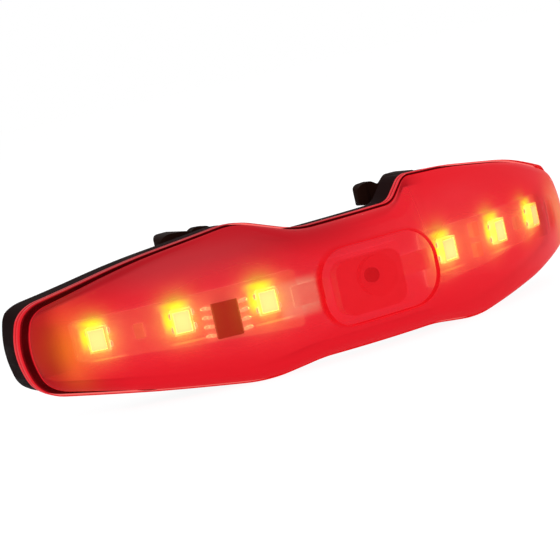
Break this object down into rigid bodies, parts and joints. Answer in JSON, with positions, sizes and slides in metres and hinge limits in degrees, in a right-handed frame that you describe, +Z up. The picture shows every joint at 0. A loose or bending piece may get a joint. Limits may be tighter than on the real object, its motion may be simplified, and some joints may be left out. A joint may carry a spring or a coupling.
{
  "type": "helmet light",
  "caption": "Wrap-round red rear light for a helmet: a crowned translucent lens over a lamp strip on a shallow black housing with rear hooks, coin-cell caps and a press pad.",
  "frame": {"origin": "midway between the two rear hooks, in the plane where the tips of the hooks bear on the helmet's rear adjuster", "axes": "+Z up as worn, the lens faces -Y, +X to the right seen from the front"},
  "size_m": [0.09, 0.0324, 0.0224],
  "materials": {
    "lens_red": "clear red moulded polycarbonate, polished",
    "button_red": "the same clear red moulding, thinned to flex",
    "housing_black": "black moulded ABS, fine satin",
    "clip_black": "black moulded acetal, satin",
    "cap_black": "black moulded ABS",
    "tray_white": "white moulded reflector tray",
    "board_white": "white solder mask on thin board",
    "link_pale": "pale flat link",
    "lamp_body": "white lamp package",
    "lamp_window": "lit phosphor window",
    "chip_black": "black epoxy chip body",
    "tin": "tinned legs",
    "resistor_black": "black resistor body with tinned ends",
    "capacitor_tan": "tan ceramic",
    "switch_frame": "pale switch frame",
    "switch_body": "steel-topped tact switch",
    "plunger_black": "black switch plunger",
    "cell_steel": "stainless coin cell",
    "contact_brass": "gold-plated leaf spring"
  },
  "bodies": {
    "light": {"rear_housing": "housing_black", "lens": "lens_red", "led_carrier": "tray_white", "left_led_board": "board_white", "right_led_board": "board_white", "switch_board": "board_white", "board_links": "link_pale", "led_packages": "lamp_body", "led_windows": "lamp_window", "controller_chip": "chip_black", "chip_legs": "tin", "chip_resistors": "resistor_black", "chip_capacitors": "capacitor_tan", "tact_switch": "switch_body", "switch_cover": "switch_frame", "left_cell": "cell_steel", "right_cell": "cell_steel", "left_cell_contact": "contact_brass", "right_cell_contact": "contact_brass", "left_clip": "clip_black", "right_clip": "clip_black"},
    "button": {"mode_button": "button_red", "switch_plunger": "plunger_black"},
    "left_cap": {"left_battery_cap": "cap_black"},
    "right_cap": {"right_battery_cap": "cap_black"}
  },
  "joints": [
    {"name": "mode_button_press", "type": "slide", "parent": "light", "child": "button", "axis": [0, 1, 0], "range_m": [0, 0.0004], "stiffness_N_per_m": 6000},
    {"name": "left_cap_turn", "type": "hinge", "parent": "light", "child": "left_cap", "pos_m": [-0.02652, -0.00391, 0.0003], "axis": [0.5169, 0.856, 0], "range_deg": [0, 60]},
    {"name": "right_cap_turn", "type": "hinge", "parent": "light", "child": "right_cap", "pos_m": [0.02652, -0.00391, 0.0003], "axis": [-0.5169, 0.856, 0], "range_deg": [0, 60]}
  ]
}
